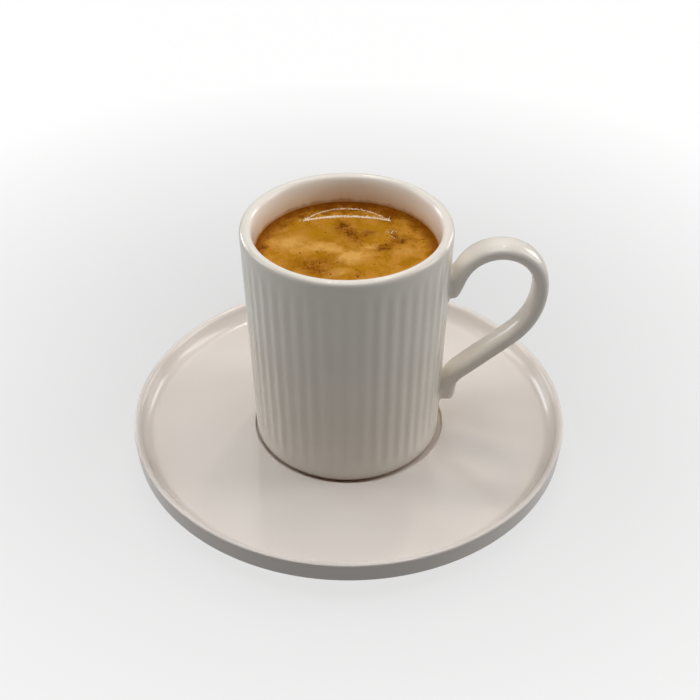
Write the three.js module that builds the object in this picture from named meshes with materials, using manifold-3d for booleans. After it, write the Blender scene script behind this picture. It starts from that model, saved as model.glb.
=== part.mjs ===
// A shot of espresso in a small ribbed porcelain cup, standing in the well of its saucer.
// Millimetres, +Z up. The origin is on the saucer's axis, in the plane it stands on.
// +X points to the cup's handle.
import * as THREE from 'three';
import { mergeVertices } from 'three/addons/utils/BufferGeometryUtils.js';
import Module from 'manifold-3d';

const GAP = 0.3;
const DEGREE = Math.PI / 180;

// Saucer: a flat plate with a low rounded rim, a shallow round well and a foot ring.
const SAUCER_RADIUS = 60;
const SAUCER_HEIGHT = 12;
const SAUCER_SIDES = 56;
const SAUCER_CURVE_STEPS = 3;
const RIM_BEAD_RADIUS = 1.3;
const RIM_WALL_BOTTOM = 8;
const RIM_WALL_TAPER = 0.3;
const RIM_HEIGHT = 4.27;
const RIM_COVE_WIDTH = 2.9;
const RIM_UNDER_RADIUS = 1.5;
const RIM_UNDER_ANGLE = -59 * DEGREE;
const WELL_RADIUS = 26.3;
const WELL_DEPTH = 1.5;
const WELL_EDGE_RADIUS = 0.4;
const UNDERSIDE_HEIGHT = 2.4;
const FOOT_RING_RADIUS = 36;
const FOOT_RING_FLAT = 2;
const FOOT_RING_SLOPE = 0.9;
const FOOT_RING_OUTER_HEIGHT = 3.2;
const BELLY_RADIUS = 54;
const BELLY_HEIGHT = 3.8;

// Cup: a tall, slightly tapered wall with rounded ribs, a plain lip and a plain foot.
const CUP_SLIDE = -0.45;
const CUP_HEIGHT = 65.23;
const LIP_CIRCLE_RADIUS = 25.52;
const LIP_RADIUS = 1.46;
const FOOT_RADIUS = 25.45;
const FOOT_EDGE_RADIUS = 1.2;
const FOOT_RECESS_RADIUS = 20;
const FOOT_RECESS_DEPTH = 1;
const INNER_RADIUS_TOP = 23.4;
const INNER_SHOULDER_DROP = 5;
const INNER_RADIUS_BOTTOM = 22;
const INNER_CORNER_RADIUS = 6;
const BASE_THICKNESS = 4.5;
const CUP_CURVE_STEPS = 2;

// Ribs: rounded, side by side, parted by narrow valleys that fade out at both ends.
const RIB_COUNT = 48;
const RIB_SIDES = 3;
const RIB_DEPTH = 0.45;
const RIB_PHASE = 2.7 * DEGREE;
const RIB_BOTTOM = 6.5;
const RIB_TOP = 62.3;
const RIB_FADE = 2;
const WALL_TOLERANCE = 0.01;

// Handle: a rounded strap that leaves the wall upwards, loops over and comes back on a slant.
const STRAP_HALF_THICKNESS = 2.1;
const STRAP_HALF_WIDTH = 3.9;
const STRAP_ROUNDNESS = 2.6;
const STRAP_SIDES = 12;
const STRAP_STEPS = 40;
const STRAP_END_CROWDING = 0.6;
const STRAP_END_LENGTH = 2.4;
const STRAP_FLARE = 0.35;
const STRAP_FLARE_LENGTH = 6;
const UPPER_ROOT_RADIUS = 26.8;
const UPPER_ROOT_HEIGHT = 43.8;
const LOOP_CENTRE = new THREE.Vector2(39.43, 47.3);
const LOOP_RADIUS = 10.7;
const LOOP_START = 160 * DEGREE;
const LOOP_END = 7.4 * DEGREE;
const SHOULDER_RADIUS = 20.1;
const ARM_ANGLE = -48.2 * DEGREE;
const LOWER_BEND_RADIUS = 7;
const LOWER_ROOT_RADIUS = 27.4;
const LOWER_ROOT_HEIGHT = 9.5;

// Coffee: fills the cup to this depth below the lip.
const COFFEE_DROP = 7.24;
const COFFEE_SIDES = 48;

// Finishes: warm white glaze, and the golden brown of crema.
const SAUCER_GLAZE = { color: 0xe6ded5, roughness: 0.22, metalness: 0 };
const CUP_GLAZE = { color: 0xebe6dd, roughness: 0.2, metalness: 0 };
const CREMA = { color: 0xb9802f, roughness: 0.4, metalness: 0 };

const PLATE_HEIGHT = SAUCER_HEIGHT - RIM_HEIGHT;
const WELL_FLOOR = PLATE_HEIGHT - WELL_DEPTH;
const CUP_BASE = WELL_FLOOR + GAP;
const LIP_HEIGHT = CUP_HEIGHT - LIP_RADIUS;

const wasm = await Module();
wasm.setup();

// A welded copy of a geometry: positions only, with no collapsed triangles.
function weld(geometry) {
  const bare = geometry.clone();
  bare.deleteAttribute('normal');
  bare.deleteAttribute('uv');
  const merged = mergeVertices(bare, 1e-4);
  const index = merged.index.array;
  const kept = [];
  for (let i = 0; i < index.length; i += 3) {
    const [a, b, c] = index.slice(i, i + 3);
    if (a !== b && b !== c && c !== a) kept.push(a, b, c);
  }
  merged.setIndex(kept);
  return merged;
}

function toSolid(geometry) {
  const vertProperties = new Float32Array(geometry.attributes.position.array);
  const triVerts = new Uint32Array(geometry.index.array);
  return new wasm.Manifold(new wasm.Mesh({ numProp: 3, vertProperties, triVerts }));
}

function toGeometry(solid) {
  const { vertProperties, triVerts } = solid.getMesh();
  const geometry = new THREE.BufferGeometry();
  geometry.setAttribute('position', new THREE.BufferAttribute(vertProperties, 3));
  geometry.setIndex(new THREE.BufferAttribute(triVerts, 1));
  return geometry;
}

// A profile of radius and height, turned once round the Z axis.
function turned(points, sides, start = 0) {
  const geometry = new THREE.LatheGeometry(points, sides, start, 2 * Math.PI);
  geometry.rotateX(Math.PI / 2);
  return weld(geometry);
}

function named(name, geometry, finish) {
  geometry.computeVertexNormals();
  const mesh = new THREE.Mesh(geometry, new THREE.MeshStandardMaterial(finish));
  mesh.name = name;
  return mesh;
}

// The saucer's profile runs out under the plate, up over the rim and in across the well.
function saucerProfile() {
  const ringIn = FOOT_RING_RADIUS - FOOT_RING_FLAT / 2;
  const ringOut = FOOT_RING_RADIUS + FOOT_RING_FLAT / 2;
  const wallFoot = SAUCER_RADIUS - RIM_WALL_TAPER;
  const underRadius = wallFoot - RIM_UNDER_RADIUS;
  const underStart = underRadius + RIM_UNDER_RADIUS * Math.cos(RIM_UNDER_ANGLE);
  const underHeight = RIM_WALL_BOTTOM + RIM_UNDER_RADIUS * Math.sin(RIM_UNDER_ANGLE);
  const beadRadius = SAUCER_RADIUS - RIM_BEAD_RADIUS;
  const beadHeight = SAUCER_HEIGHT - RIM_BEAD_RADIUS;
  const beadInside = beadRadius - RIM_BEAD_RADIUS;
  const coveEnd = beadInside - RIM_COVE_WIDTH;
  const profile = new THREE.Path();
  profile.moveTo(0, UNDERSIDE_HEIGHT);
  profile.lineTo(ringIn - FOOT_RING_SLOPE, UNDERSIDE_HEIGHT);
  profile.lineTo(ringIn, 0);
  profile.lineTo(ringOut, 0);
  profile.lineTo(ringOut + FOOT_RING_SLOPE, FOOT_RING_OUTER_HEIGHT);
  profile.quadraticCurveTo(BELLY_RADIUS, BELLY_HEIGHT, underStart, underHeight);
  profile.absarc(underRadius, RIM_WALL_BOTTOM, RIM_UNDER_RADIUS, RIM_UNDER_ANGLE, 0, false);
  profile.absarc(beadRadius, beadHeight, RIM_BEAD_RADIUS, 0, Math.PI, false);
  profile.bezierCurveTo(
    beadInside, beadHeight - RIM_HEIGHT / 2,
    coveEnd + RIM_COVE_WIDTH / 2, PLATE_HEIGHT,
    coveEnd, PLATE_HEIGHT,
  );
  profile.lineTo(WELL_RADIUS + WELL_EDGE_RADIUS, PLATE_HEIGHT);
  profile.quadraticCurveTo(WELL_RADIUS, PLATE_HEIGHT, WELL_RADIUS, PLATE_HEIGHT - WELL_EDGE_RADIUS);
  profile.lineTo(WELL_RADIUS, WELL_FLOOR);
  profile.lineTo(0, WELL_FLOOR);
  return profile.getPoints(SAUCER_CURVE_STEPS);
}

// Heights in the cup's own profiles are measured from its foot.
function outerRadius(height) {
  const lipRadius = LIP_CIRCLE_RADIUS + LIP_RADIUS;
  return FOOT_RADIUS + (lipRadius - FOOT_RADIUS) * (height / LIP_HEIGHT);
}

function innerRadius(height) {
  const low = BASE_THICKNESS + INNER_CORNER_RADIUS;
  const high = LIP_HEIGHT - INNER_SHOULDER_DROP;
  const rise = (height - low) / (high - low);
  return INNER_RADIUS_BOTTOM + (INNER_RADIUS_TOP - INNER_RADIUS_BOTTOM) * rise;
}

// The cavity's line from the lip down to the middle of its floor, set in by an inset.
function cavityPath(path, inset) {
  const floor = BASE_THICKNESS + inset;
  const corner = INNER_CORNER_RADIUS - inset;
  path.lineTo(INNER_RADIUS_BOTTOM - inset, floor + corner);
  path.quadraticCurveTo(INNER_RADIUS_BOTTOM - inset, floor, INNER_RADIUS_BOTTOM - inset - corner, floor);
  path.lineTo(0, floor);
}

function cupProfile() {
  const recessTop = FOOT_RECESS_RADIUS - FOOT_RECESS_DEPTH;
  const edge = outerRadius(FOOT_EDGE_RADIUS);
  const profile = new THREE.Path();
  profile.moveTo(0, FOOT_RECESS_DEPTH);
  profile.lineTo(recessTop, FOOT_RECESS_DEPTH);
  profile.lineTo(FOOT_RECESS_RADIUS, 0);
  profile.lineTo(edge - FOOT_EDGE_RADIUS, 0);
  profile.quadraticCurveTo(edge, 0, edge, FOOT_EDGE_RADIUS);
  for (const height of [RIB_BOTTOM, RIB_BOTTOM + RIB_FADE, RIB_TOP - RIB_FADE, RIB_TOP]) {
    profile.lineTo(outerRadius(height), height);
  }
  profile.absarc(LIP_CIRCLE_RADIUS, LIP_HEIGHT, LIP_RADIUS, 0, Math.PI, false);
  profile.lineTo(INNER_RADIUS_TOP, LIP_HEIGHT - INNER_SHOULDER_DROP);
  cavityPath(profile, 0);
  return profile.getPoints(CUP_CURVE_STEPS);
}

// Valleys are pressed into the outer wall between the ribs' ends, one for each rib.
function ribbed(geometry) {
  const halfStep = Math.PI / RIB_SIDES;
  const position = geometry.attributes.position;
  for (let i = 0; i < position.count; i += 1) {
    const x = position.getX(i);
    const y = position.getY(i);
    const height = position.getZ(i);
    const radius = Math.hypot(x, y);
    const onWall = Math.abs(radius - outerRadius(height)) < WALL_TOLERANCE;
    const between = height > RIB_BOTTOM + RIB_FADE / 2 && height < RIB_TOP - RIB_FADE / 2;
    const turn = RIB_COUNT * (Math.atan2(y, x) - RIB_PHASE);
    const inValley = Math.cos(turn) < -Math.cos(halfStep);
    if (onWall && between && inValley) {
      const scale = 1 - RIB_DEPTH / radius;
      position.setXY(i, x * scale, y * scale);
    }
  }
  return geometry;
}

// The strap's middle line, in the plane of the cup's axis: upper root, loop, shoulder, arm, lower root.
function strapLine() {
  const upward = new THREE.Vector2(Math.cos(LOOP_START), Math.sin(LOOP_START));
  const loopStart = LOOP_CENTRE.clone().addScaledVector(upward, LOOP_RADIUS);
  const inward = new THREE.Vector2(Math.cos(LOOP_END), Math.sin(LOOP_END));
  const shoulder = LOOP_CENTRE.clone().addScaledVector(inward, LOOP_RADIUS - SHOULDER_RADIUS);
  const outward = new THREE.Vector2(Math.cos(ARM_ANGLE), Math.sin(ARM_ANGLE));
  const along = new THREE.Vector2(outward.y, -outward.x);
  const armStart = shoulder.clone().addScaledVector(outward, SHOULDER_RADIUS);
  const bendCentreX = LOWER_ROOT_RADIUS + LOWER_BEND_RADIUS;
  const armLength = (bendCentreX - LOWER_BEND_RADIUS * outward.x - armStart.x) / along.x;
  const armEnd = armStart.clone().addScaledVector(along, armLength);
  const bend = armEnd.clone().addScaledVector(outward, LOWER_BEND_RADIUS);
  const line = new THREE.Path();
  line.moveTo(UPPER_ROOT_RADIUS, UPPER_ROOT_HEIGHT);
  line.lineTo(loopStart.x, loopStart.y);
  line.absarc(LOOP_CENTRE.x, LOOP_CENTRE.y, LOOP_RADIUS, LOOP_START, LOOP_END, true);
  line.absarc(shoulder.x, shoulder.y, SHOULDER_RADIUS, LOOP_END, ARM_ANGLE, true);
  line.absarc(bend.x, bend.y, LOWER_BEND_RADIUS, Math.PI + ARM_ANGLE, Math.PI, false);
  line.lineTo(LOWER_ROOT_RADIUS, LOWER_ROOT_HEIGHT);
  return line;
}

// The strap's half sizes at a distance from its nearer end: a round cap, then a thicker root.
function strapSection(fromEnd) {
  const toCap = Math.max(0, 1 - fromEnd / STRAP_END_LENGTH);
  const toRoot = Math.max(0, 1 - fromEnd / STRAP_FLARE_LENGTH);
  const cap = Math.sqrt(1 - toCap * toCap);
  const thick = STRAP_HALF_THICKNESS * cap * (1 + STRAP_FLARE * toRoot * (2 - toRoot));
  return { thick, wide: STRAP_HALF_WIDTH * cap };
}

function softened(value) {
  return Math.sign(value) * Math.abs(value) ** (2 / STRAP_ROUNDNESS);
}

// A capped cylinder bent along the strap's line, with its round section made a rounded strap.
function strapGeometry() {
  const line = strapLine();
  const length = line.getLength();
  const geometry = new THREE.CylinderGeometry(1, 1, 1, STRAP_SIDES, STRAP_STEPS);
  const position = geometry.attributes.position;
  for (let i = 0; i < position.count; i += 1) {
    const step = THREE.MathUtils.clamp(0.5 - position.getY(i), 0, 1);
    const crowded = STRAP_END_CROWDING * Math.sin(2 * Math.PI * step) / (2 * Math.PI);
    const along = step - crowded;
    const fromEnd = Math.min(along, 1 - along) * length;
    const section = strapSection(fromEnd);
    const point = line.getPointAt(along);
    const tangent = line.getTangentAt(along);
    const thick = softened(position.getX(i)) * section.thick;
    const wide = softened(position.getZ(i)) * section.wide;
    position.setXYZ(i, point.x + tangent.y * thick, wide, point.y - tangent.x * thick);
  }
  return weld(geometry);
}

function cupGeometry() {
  const sides = RIB_COUNT * RIB_SIDES;
  const valley = Math.PI / RIB_COUNT;
  const wall = ribbed(turned(cupProfile(), sides, RIB_PHASE + valley));
  return toGeometry(toSolid(wall).add(toSolid(strapGeometry())));
}

// The coffee's profile runs from the middle of its surface out to the wall and down to the cup's floor.
function coffeeProfile() {
  const level = CUP_HEIGHT - COFFEE_DROP;
  const profile = new THREE.Path();
  profile.moveTo(0, level);
  profile.lineTo(innerRadius(level) - GAP, level);
  cavityPath(profile, GAP);
  return profile.getPoints(CUP_CURVE_STEPS).reverse();
}

const saucer = named('saucer', turned(saucerProfile(), SAUCER_SIDES), SAUCER_GLAZE);
const cup = named('cup', cupGeometry(), CUP_GLAZE);
const coffee = named('coffee', turned(coffeeProfile(), COFFEE_SIDES), CREMA);

const served = new THREE.Group();
served.position.set(CUP_SLIDE, 0, CUP_BASE);
served.add(cup, coffee);

const espresso = new THREE.Group();
espresso.add(saucer, served);

export default espresso;
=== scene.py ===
"""The looks of a shot of espresso: coffee under crema, in a ribbed porcelain cup on its saucer."""

import math

import bmesh
import bpy
import numpy as np
from bpy.props import FloatProperty, FloatVectorProperty, IntProperty, PointerProperty
from mathutils import Matrix, Vector


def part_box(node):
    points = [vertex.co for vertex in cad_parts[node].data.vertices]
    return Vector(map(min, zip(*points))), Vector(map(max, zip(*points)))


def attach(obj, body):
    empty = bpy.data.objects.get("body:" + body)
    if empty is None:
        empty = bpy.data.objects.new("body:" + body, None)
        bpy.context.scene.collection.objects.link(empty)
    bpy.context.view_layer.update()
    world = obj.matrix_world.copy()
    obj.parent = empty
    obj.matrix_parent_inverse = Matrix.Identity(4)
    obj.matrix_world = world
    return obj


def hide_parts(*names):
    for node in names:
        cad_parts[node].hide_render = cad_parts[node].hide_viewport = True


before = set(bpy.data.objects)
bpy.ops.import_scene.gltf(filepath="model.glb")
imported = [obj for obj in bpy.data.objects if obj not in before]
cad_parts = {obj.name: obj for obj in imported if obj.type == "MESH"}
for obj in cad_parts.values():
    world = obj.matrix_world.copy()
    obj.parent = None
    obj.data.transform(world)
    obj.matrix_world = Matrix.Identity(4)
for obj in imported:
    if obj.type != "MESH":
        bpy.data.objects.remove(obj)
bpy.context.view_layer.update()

bl_info = {
    "name": "Espresso shot",
    "version": (1, 0, 0),
    "blender": (4, 5, 0),
    "location": "3D View > Sidebar > Espresso",
    "description": "Makes a shot of espresso in a ribbed porcelain cup on its saucer",
    "category": "Object",
}

MM = 0.001
BODY = "root"
SAUCER_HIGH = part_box("saucer")[1]
CUP_LOW, CUP_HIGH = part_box("cup")
COFFEE_LOW, COFFEE_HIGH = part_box("coffee")
CUP_AXIS = CUP_LOW.x + CUP_HIGH.y
CUP_HEIGHT = CUP_HIGH.z - CUP_LOW.z
COFFEE_LEVEL = COFFEE_HIGH.z - CUP_LOW.z
# Points nearer to each other than this are merged where the handle joins the wall.
JOINT_GAP = 0.02 * MM


def linear(code):
    """An sRGB hex colour as linear red, green and blue."""
    parts = [int(code[i : i + 2], 16) / 255 for i in (0, 2, 4)]
    return tuple(p / 12.92 if p <= 0.04045 else ((p + 0.055) / 1.055) ** 2.4 for p in parts)


def length(name, description, millimetres):
    """A length, given in millimetres and held in metres."""
    return FloatProperty(
        name=name, description=description, default=millimetres * MM, unit="LENGTH", precision=5
    )


def angle(name, description, degrees):
    """An angle, given in degrees and held in radians."""
    return FloatProperty(name=name, description=description, default=math.radians(degrees), subtype="ANGLE")


def share(name, description, default):
    """A part of a whole."""
    return FloatProperty(name=name, description=description, default=default, subtype="FACTOR")


def colour(name, description, code):
    """A colour, given as a hex code and held in linear light."""
    return FloatVectorProperty(
        name=name, description=description, default=linear(code), subtype="COLOR", min=0, max=1
    )


class SaucerSizes(bpy.types.PropertyGroup):
    """Sizes of the saucer"""

    radius: length("Radius", "From the axis to the rim's outside", SAUCER_HIGH.x / MM - 0.25)
    height: length("Height", "From the table to the top of the rim", SAUCER_HIGH.z / MM + 0.45)
    rim_height: length("Rim height", "Top of the rim above the plate", 4.72)
    bead: length("Rim bead", "How far the rim's top falls on its inside", 1)
    bead_width: length("Rim width", "From the rim's outside to the hollow inside it", 1.9)
    rim_edge: length("Rim edge", "Radius of the rim's outer edge", 0.45)
    cove: length("Cove", "Width of the hollow between plate and rim", 3.7)
    lean: share("Lean", "How steeply the rim falls into the hollow", 0.3)
    wall_bottom: length("Wall bottom", "Height at which the rim's wall turns under", 7.25)
    wall_taper: length("Wall taper", "How far the rim's wall leans in at its bottom", 0.25)
    under_bend: length("Under bend", "Radius of the turn under the rim", 0.5)
    under_angle: angle("Under angle", "Where the turn under the rim starts", -59)
    belly_radius: length("Belly radius", "Pull of the curve under the plate, from the axis", 54)
    belly_height: length("Belly height", "Pull of the curve under the plate, from the table", 3.8)
    well_radius: length("Well radius", "The round well that the cup stands in", 26.3)
    well_depth: length("Well depth", "Floor of the well below the plate", 1.5)
    well_edge: length("Well edge", "Radius of the well's glazed edge", 0.45)
    underside: length("Underside", "Height of the plate's underside inside the foot ring", 2.4)
    ring_radius: length("Foot ring radius", "Middle of the foot ring", 36)
    ring_flat: length("Foot ring flat", "Width of the face that it stands on", 2)
    ring_slope: length("Foot ring slope", "How far the ring's sides lean", 0.9)
    ring_outer: length("Foot ring outer height", "Height of the ring on its outside", 3.2)
    sides: IntProperty(name="Sides", description="Facets round the saucer", default=288)


class CupSizes(bpy.types.PropertyGroup):
    """Sizes of the cup's wall"""

    lip_radius: length("Lip radius", "From the axis to the outside of the lip", 26.98)
    lip_bead: length("Lip bead", "Half of the lip's thickness", 1.46)
    lip_outer: length("Lip outside", "Height of the lip's curve on its outside", 1.8)
    lip_inner: length("Lip inside", "Height of the lip's curve on its inside", 5.5)
    lip_rise: share("Lip rise", "How near its top the lip's outside starts to turn", 0.35)
    lip_crown: share("Lip crown", "How wide the lip's top is on its outside", 0.7)
    lip_inner_crown: share("Inner lip crown", "How wide the lip's top is on its inside", 0.88)
    lip_inner_rise: share("Inner lip rise", "How near its top the lip's inside starts to turn", 0.21)
    foot_radius: length("Foot radius", "The wall at the foot", 25.45)
    foot_edge: length("Foot edge", "Radius of the foot's outer edge", 2.3)
    recess_radius: length("Recess radius", "The hollow under the foot", 20)
    recess_depth: length("Recess depth", "Depth of the hollow under the foot", 1)
    inner_top: length("Inner top", "Radius of the cavity below its shoulder", 23.4)
    inner_bottom: length("Inner bottom", "Radius of the cavity above its floor", 22)
    inner_corner: length("Inner corner", "Radius of the turn into the floor", 6)
    base: length("Base", "Thickness of the floor", 4.5)
    sides: IntProperty(name="Sides of a rib", description="Facets across one rib", default=12)


class RibSizes(bpy.types.PropertyGroup):
    """Sizes of the ribs on the cup's wall"""

    count: IntProperty(name="Count", description="Ribs round the cup", default=48)
    depth: length("Depth", "Depth of the valleys between the ribs", 0.17)
    first: angle("First rib", "Angle of a rib's ridge from the handle", 2.7)
    low: length("Low end", "Where the valleys begin above the foot", 3)
    high: length("High end", "Where the valleys end above the foot", 62.6)
    fade: length("Fade", "Length over which a valley grows to full depth", 6)


class HandleSizes(bpy.types.PropertyGroup):
    """Sizes of the strap handle, from the cup's axis and foot"""

    thickness: length("Half thickness", "Half of the strap's thickness", 2.1)
    width: length("Half width", "Half of the strap's width", 3.9)
    roundness: FloatProperty(name="Roundness", description="2 is an ellipse, higher is squarer", default=2.6)
    cap: length("End", "Length of the rounded ends", 2.2)
    cap_roundness: FloatProperty(name="End roundness", description="2 is round, more is squarer", default=2.6)
    flare: share("Flare", "How much thicker the strap is at its roots", 0.4)
    flare_length: length("Flare length", "Length of the thicker roots", 7)
    fillet: length("Root fillet", "Radius of the glazed hollow where strap and wall meet", 1.3)
    upper_root: length("Upper root", "From the axis to the strap's upper end", 25.8)
    upper_height: length("Upper root height", "Height of the strap's upper end", 44.6)
    loop_across: length("Loop across", "From the axis to the loop's centre", 39.43)
    loop_height: length("Loop height", "Height of the loop's centre", 47.3)
    loop_radius: length("Loop radius", "Radius of the loop", 10.7)
    loop_start: angle("Loop start", "Where the loop leaves the upper root", 152)
    loop_end: angle("Loop end", "Where the loop passes into the shoulder", 7.4)
    shoulder: length("Shoulder radius", "Radius of the outer bend below the loop", 20.1)
    arm_angle: angle("Arm angle", "Where the outer bend passes into the arm", -48.2)
    arm: length("Arm", "Length of the straight arm down to the lower bend", 20.3)
    lower_bend: length("Lower bend", "Length of the lower bend on each side", 3)
    lower_root: length("Lower root", "From the axis to the strap's lower end", 26.5)
    lower_height: length("Lower root height", "Height of the strap's lower end", 10.2)


class CoffeeSizes(bpy.types.PropertyGroup):
    """Sizes of the coffee and of what lies in its crema"""

    bite: length("Bite", "How far the coffee reaches into the wall", 0.15)
    climb: length("Climb", "How far the coffee climbs the wall above its middle", 1.2)
    climb_width: length("Climb width", "How fast the climb fades from the wall", 2.4)
    unevenness: length("Unevenness", "Height of the soft lumps in the crema", 0.12)
    lump: length("Lump", "Width of the soft lumps in the crema", 5)
    bubble_small: length("Smallest bubble", "Radius of the smallest bubbles", 0.05)
    bubble_large: length("Largest bubble", "Radius of the largest bubbles", 0.2)
    bubble_spacing: length("Bubble spacing", "Mean distance between bubbles", 0.85)
    # Bubbles of the glint froth, which paint the bright arcs reflected in the crema as a highlight.
    froth_small: length("Smallest froth", "Radius of the smallest froth bubbles", 0.06)
    froth_large: length("Largest froth", "Radius of the largest froth bubbles", 0.2)
    speck_small: length("Smallest speck", "Half length of the smallest specks", 0.08)
    speck_large: length("Largest speck", "Half length of the largest specks", 0.27)
    seed: IntProperty(name="Seed", description="Fixes every scattered place", default=11)
    sides: IntProperty(name="Sides", description="Facets round the coffee", default=288)
    rings: IntProperty(name="Rings", description="Rings of facets from the wall to the middle", default=120)


class Finishes(bpy.types.PropertyGroup):
    """Colours of the porcelain, the coffee and the floor"""

    saucer: colour("Saucer glaze", "Warm white glaze with a touch of pink", "E5DDD6")
    cup: colour("Cup glaze", "Warm white glaze", "F5EFE5")
    # Whiter than the cup's glaze although it is the same glaze: painted light that brightens the inside of
    # the cup.
    inside: colour("Inner glaze", "Glaze on the inside of the cup", "FFF9F0")
    # Partly a wet film of coffee, partly painted warm light bounced from the crema onto the shaded wall.
    film_and_painted_bounce: colour("Coffee film", "Thin wet film of coffee on the wall", "F2C684")
    pooled: colour("Pooled glaze", "Where glaze lies thick in the valleys", "D9D0C3")
    crema: colour("Crema", "The main tone of the foam", "C68A30")
    pale: colour("Pale crema", "Where the foam is thick", "DFAA58")
    amber: colour("Amber crema", "Where the foam is thin", "AE760C")
    gold: colour("Golden crema", "Where the foam is clear and yellow", "B67F0C")
    dark: colour("Dark crema", "Where coffee shows through the foam", "622F03")
    brown: colour("Brown crema", "Where the foam is thinnest", "884A04")
    # Thin foam along the wall; where it lies broad along the back it is partly painted shade from the back
    # wall.
    ring: colour("Crema ring", "The thin foam along the wall", "7C3E08")
    # Pale froth that paints the bright arcs reflected in the crema: a painted highlight.
    froth: colour("Froth", "Rows of tiny pale bubbles", "FFF0D8")
    grounds: colour("Grounds", "Specks of ground coffee", "3C1A05")
    floor: colour("Floor", "Plain pale floor", "595959")


class Outline:
    """Points along a drawn line in a plane, across and then up."""

    GUARD = 0.25 * MM

    def __init__(self, across, up):
        self.points = [np.array((across, up))]

    def line(self, across, up, steps=1):
        """A straight stretch. Points close to its ends keep the shading of a flat face flat."""
        start = self.points[-1]
        run = np.array((across, up)) - start
        guard = self.GUARD / np.linalg.norm(run)
        shares = set(np.linspace(0, 1, steps + 1)[1:])
        if guard < 0.2 / steps:
            shares |= {guard, 1 - guard}
        self.points += [start + run * s for s in sorted(shares)]
        return self

    def arc(self, across, up, bend, start, end, steps=12):
        """A stretch of a circle round a centre."""
        for turn in np.linspace(start, end, steps + 1):
            point = np.array((across + bend * math.cos(turn), up + bend * math.sin(turn)))
            if np.linalg.norm(point - self.points[-1]) > 1e-7:
                self.points.append(point)
        return self

    def curve(self, *controls, steps=10):
        """A Bezier curve drawn by its controls to the last of them."""
        start = self.points[-1]
        for s in np.linspace(0, 1, steps + 1)[1:]:
            row = [start, *map(np.array, controls)]
            while len(row) > 1:
                row = [a + (b - a) * s for a, b in zip(row, row[1:])]
            self.points.append(row[0])
        return self


def closed_mesh(name, rings, bottom, top):
    """A closed mesh of rings of points, with a pole at each end."""
    count, sides = rings.shape[:2]
    vertices = [bottom, *rings.reshape(-1, 3), top]
    here = np.arange(sides)
    there = np.roll(here, -1)
    faces = []
    for ring in range(count - 1):
        low = 1 + ring * sides
        high = low + sides
        faces += np.stack((low + here, low + there, high + there, high + here), 1).tolist()
    last = 1 + (count - 1) * sides
    faces += np.stack((np.zeros_like(here), 1 + there, 1 + here), 1).tolist()
    faces += np.stack((np.full_like(here, len(vertices) - 1), last + here, last + there), 1).tolist()
    mesh = bpy.data.meshes.new(name)
    mesh.from_pydata(vertices, [], faces)
    mesh.shade_smooth()
    return mesh


def turned_mesh(name, outline, sides, axis=0.0, base=0.0):
    """An outline that starts and ends on an upright axis, turned once round it."""
    points = np.array(outline.points)
    turn = np.arange(sides) * 2 * math.pi / sides
    radius, height = points[1:-1, 0], points[1:-1, 1] + base
    across = axis + radius[:, None] * np.cos(turn)
    deep = radius[:, None] * np.sin(turn)
    rings = np.stack((across, deep, np.broadcast_to(height[:, None], across.shape)), -1)
    poles = [(axis, 0, points[end, 1] + base) for end in (0, -1)]
    return closed_mesh(name, rings, *poles)


def placed(name, mesh, *materials):
    """An object at the origin that holds a mesh."""
    piece = bpy.data.objects.new(name, mesh)
    bpy.context.scene.collection.objects.link(piece)
    for material in materials:
        mesh.materials.append(material)
    return piece


def fill(tree, node, sockets):
    """Gives a node's sockets, by name or in order, a value or a link from a node or an output."""
    for key, value in sockets.items() if isinstance(sockets, dict) else enumerate(sockets):
        named = [socket for socket in node.inputs if socket.name == key and socket.enabled]
        socket = named[0] if named else node.inputs[key]
        if isinstance(value, bpy.types.Node):
            value = next(output for output in value.outputs if output.enabled)
        if isinstance(value, bpy.types.NodeSocket):
            tree.links.new(value, socket)
        else:
            socket.default_value = value


def add(tree, kind, sockets=(), **settings):
    """Adds a node with its settings and links. A kind may come with one setting and its value."""
    if isinstance(kind, tuple):
        kind, setting, choice = kind
        settings[setting] = choice
    node = tree.nodes.new(kind)
    for key, value in settings.items():
        setattr(node, key, value)
    fill(tree, node, sockets)
    return node


def rule_tree(name, *numbers, **others):
    """A Geometry Nodes tree with named inputs, and what it is given."""
    tree = bpy.data.node_groups.new(name, "GeometryNodeTree")
    tree.interface.new_socket("Geometry", in_out="OUTPUT", socket_type="NodeSocketGeometry")
    inputs = {"Geometry": "Geometry", "Finish": "Material", **dict.fromkeys(numbers, "Float"), **others}
    for key, kind in inputs.items():
        tree.interface.new_socket(key, in_out="INPUT", socket_type=f"NodeSocket{kind}")
    return tree, tree.nodes.new("NodeGroupInput").outputs


def closed_tree(tree, given, geometry):
    """Ends a tree: copies become plain mesh, and all of it takes the finish."""
    real = add(tree, "GeometryNodeRealizeInstances", {"Geometry": geometry})
    clad = add(tree, "GeometryNodeSetMaterial", {"Geometry": real, "Material": given["Finish"]})
    add(tree, "NodeGroupOutput", {"Geometry": clad})
    return tree


def ruled(name, mesh, tree, **values):
    """The plain mesh that a tree makes of a mesh."""
    carrier = placed(name, mesh)
    modifier = carrier.modifiers.new(tree.name, "NODES")
    modifier.node_group = tree
    for item in tree.interface.items_tree:
        if item.in_out == "INPUT" and item.name in values:
            modifier[item.identifier] = values[item.name]
    made = bpy.data.meshes.new_from_object(carrier.evaluated_get(bpy.context.evaluated_depsgraph_get()))
    bpy.data.objects.remove(carrier)
    made.name = name
    return made


def finished(piece, slot, *nodes):
    """Tells the frame what a piece rides on and the solids it stands for. The finish slot it is given is not
    used.
    """
    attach(piece, BODY)
    if nodes:
        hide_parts(*nodes)


def new_material(name):
    """A material, its tree and its shader."""
    material = bpy.data.materials.new(name)
    material.use_nodes = True
    return material, material.node_tree, material.node_tree.nodes["Principled BSDF"]


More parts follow.
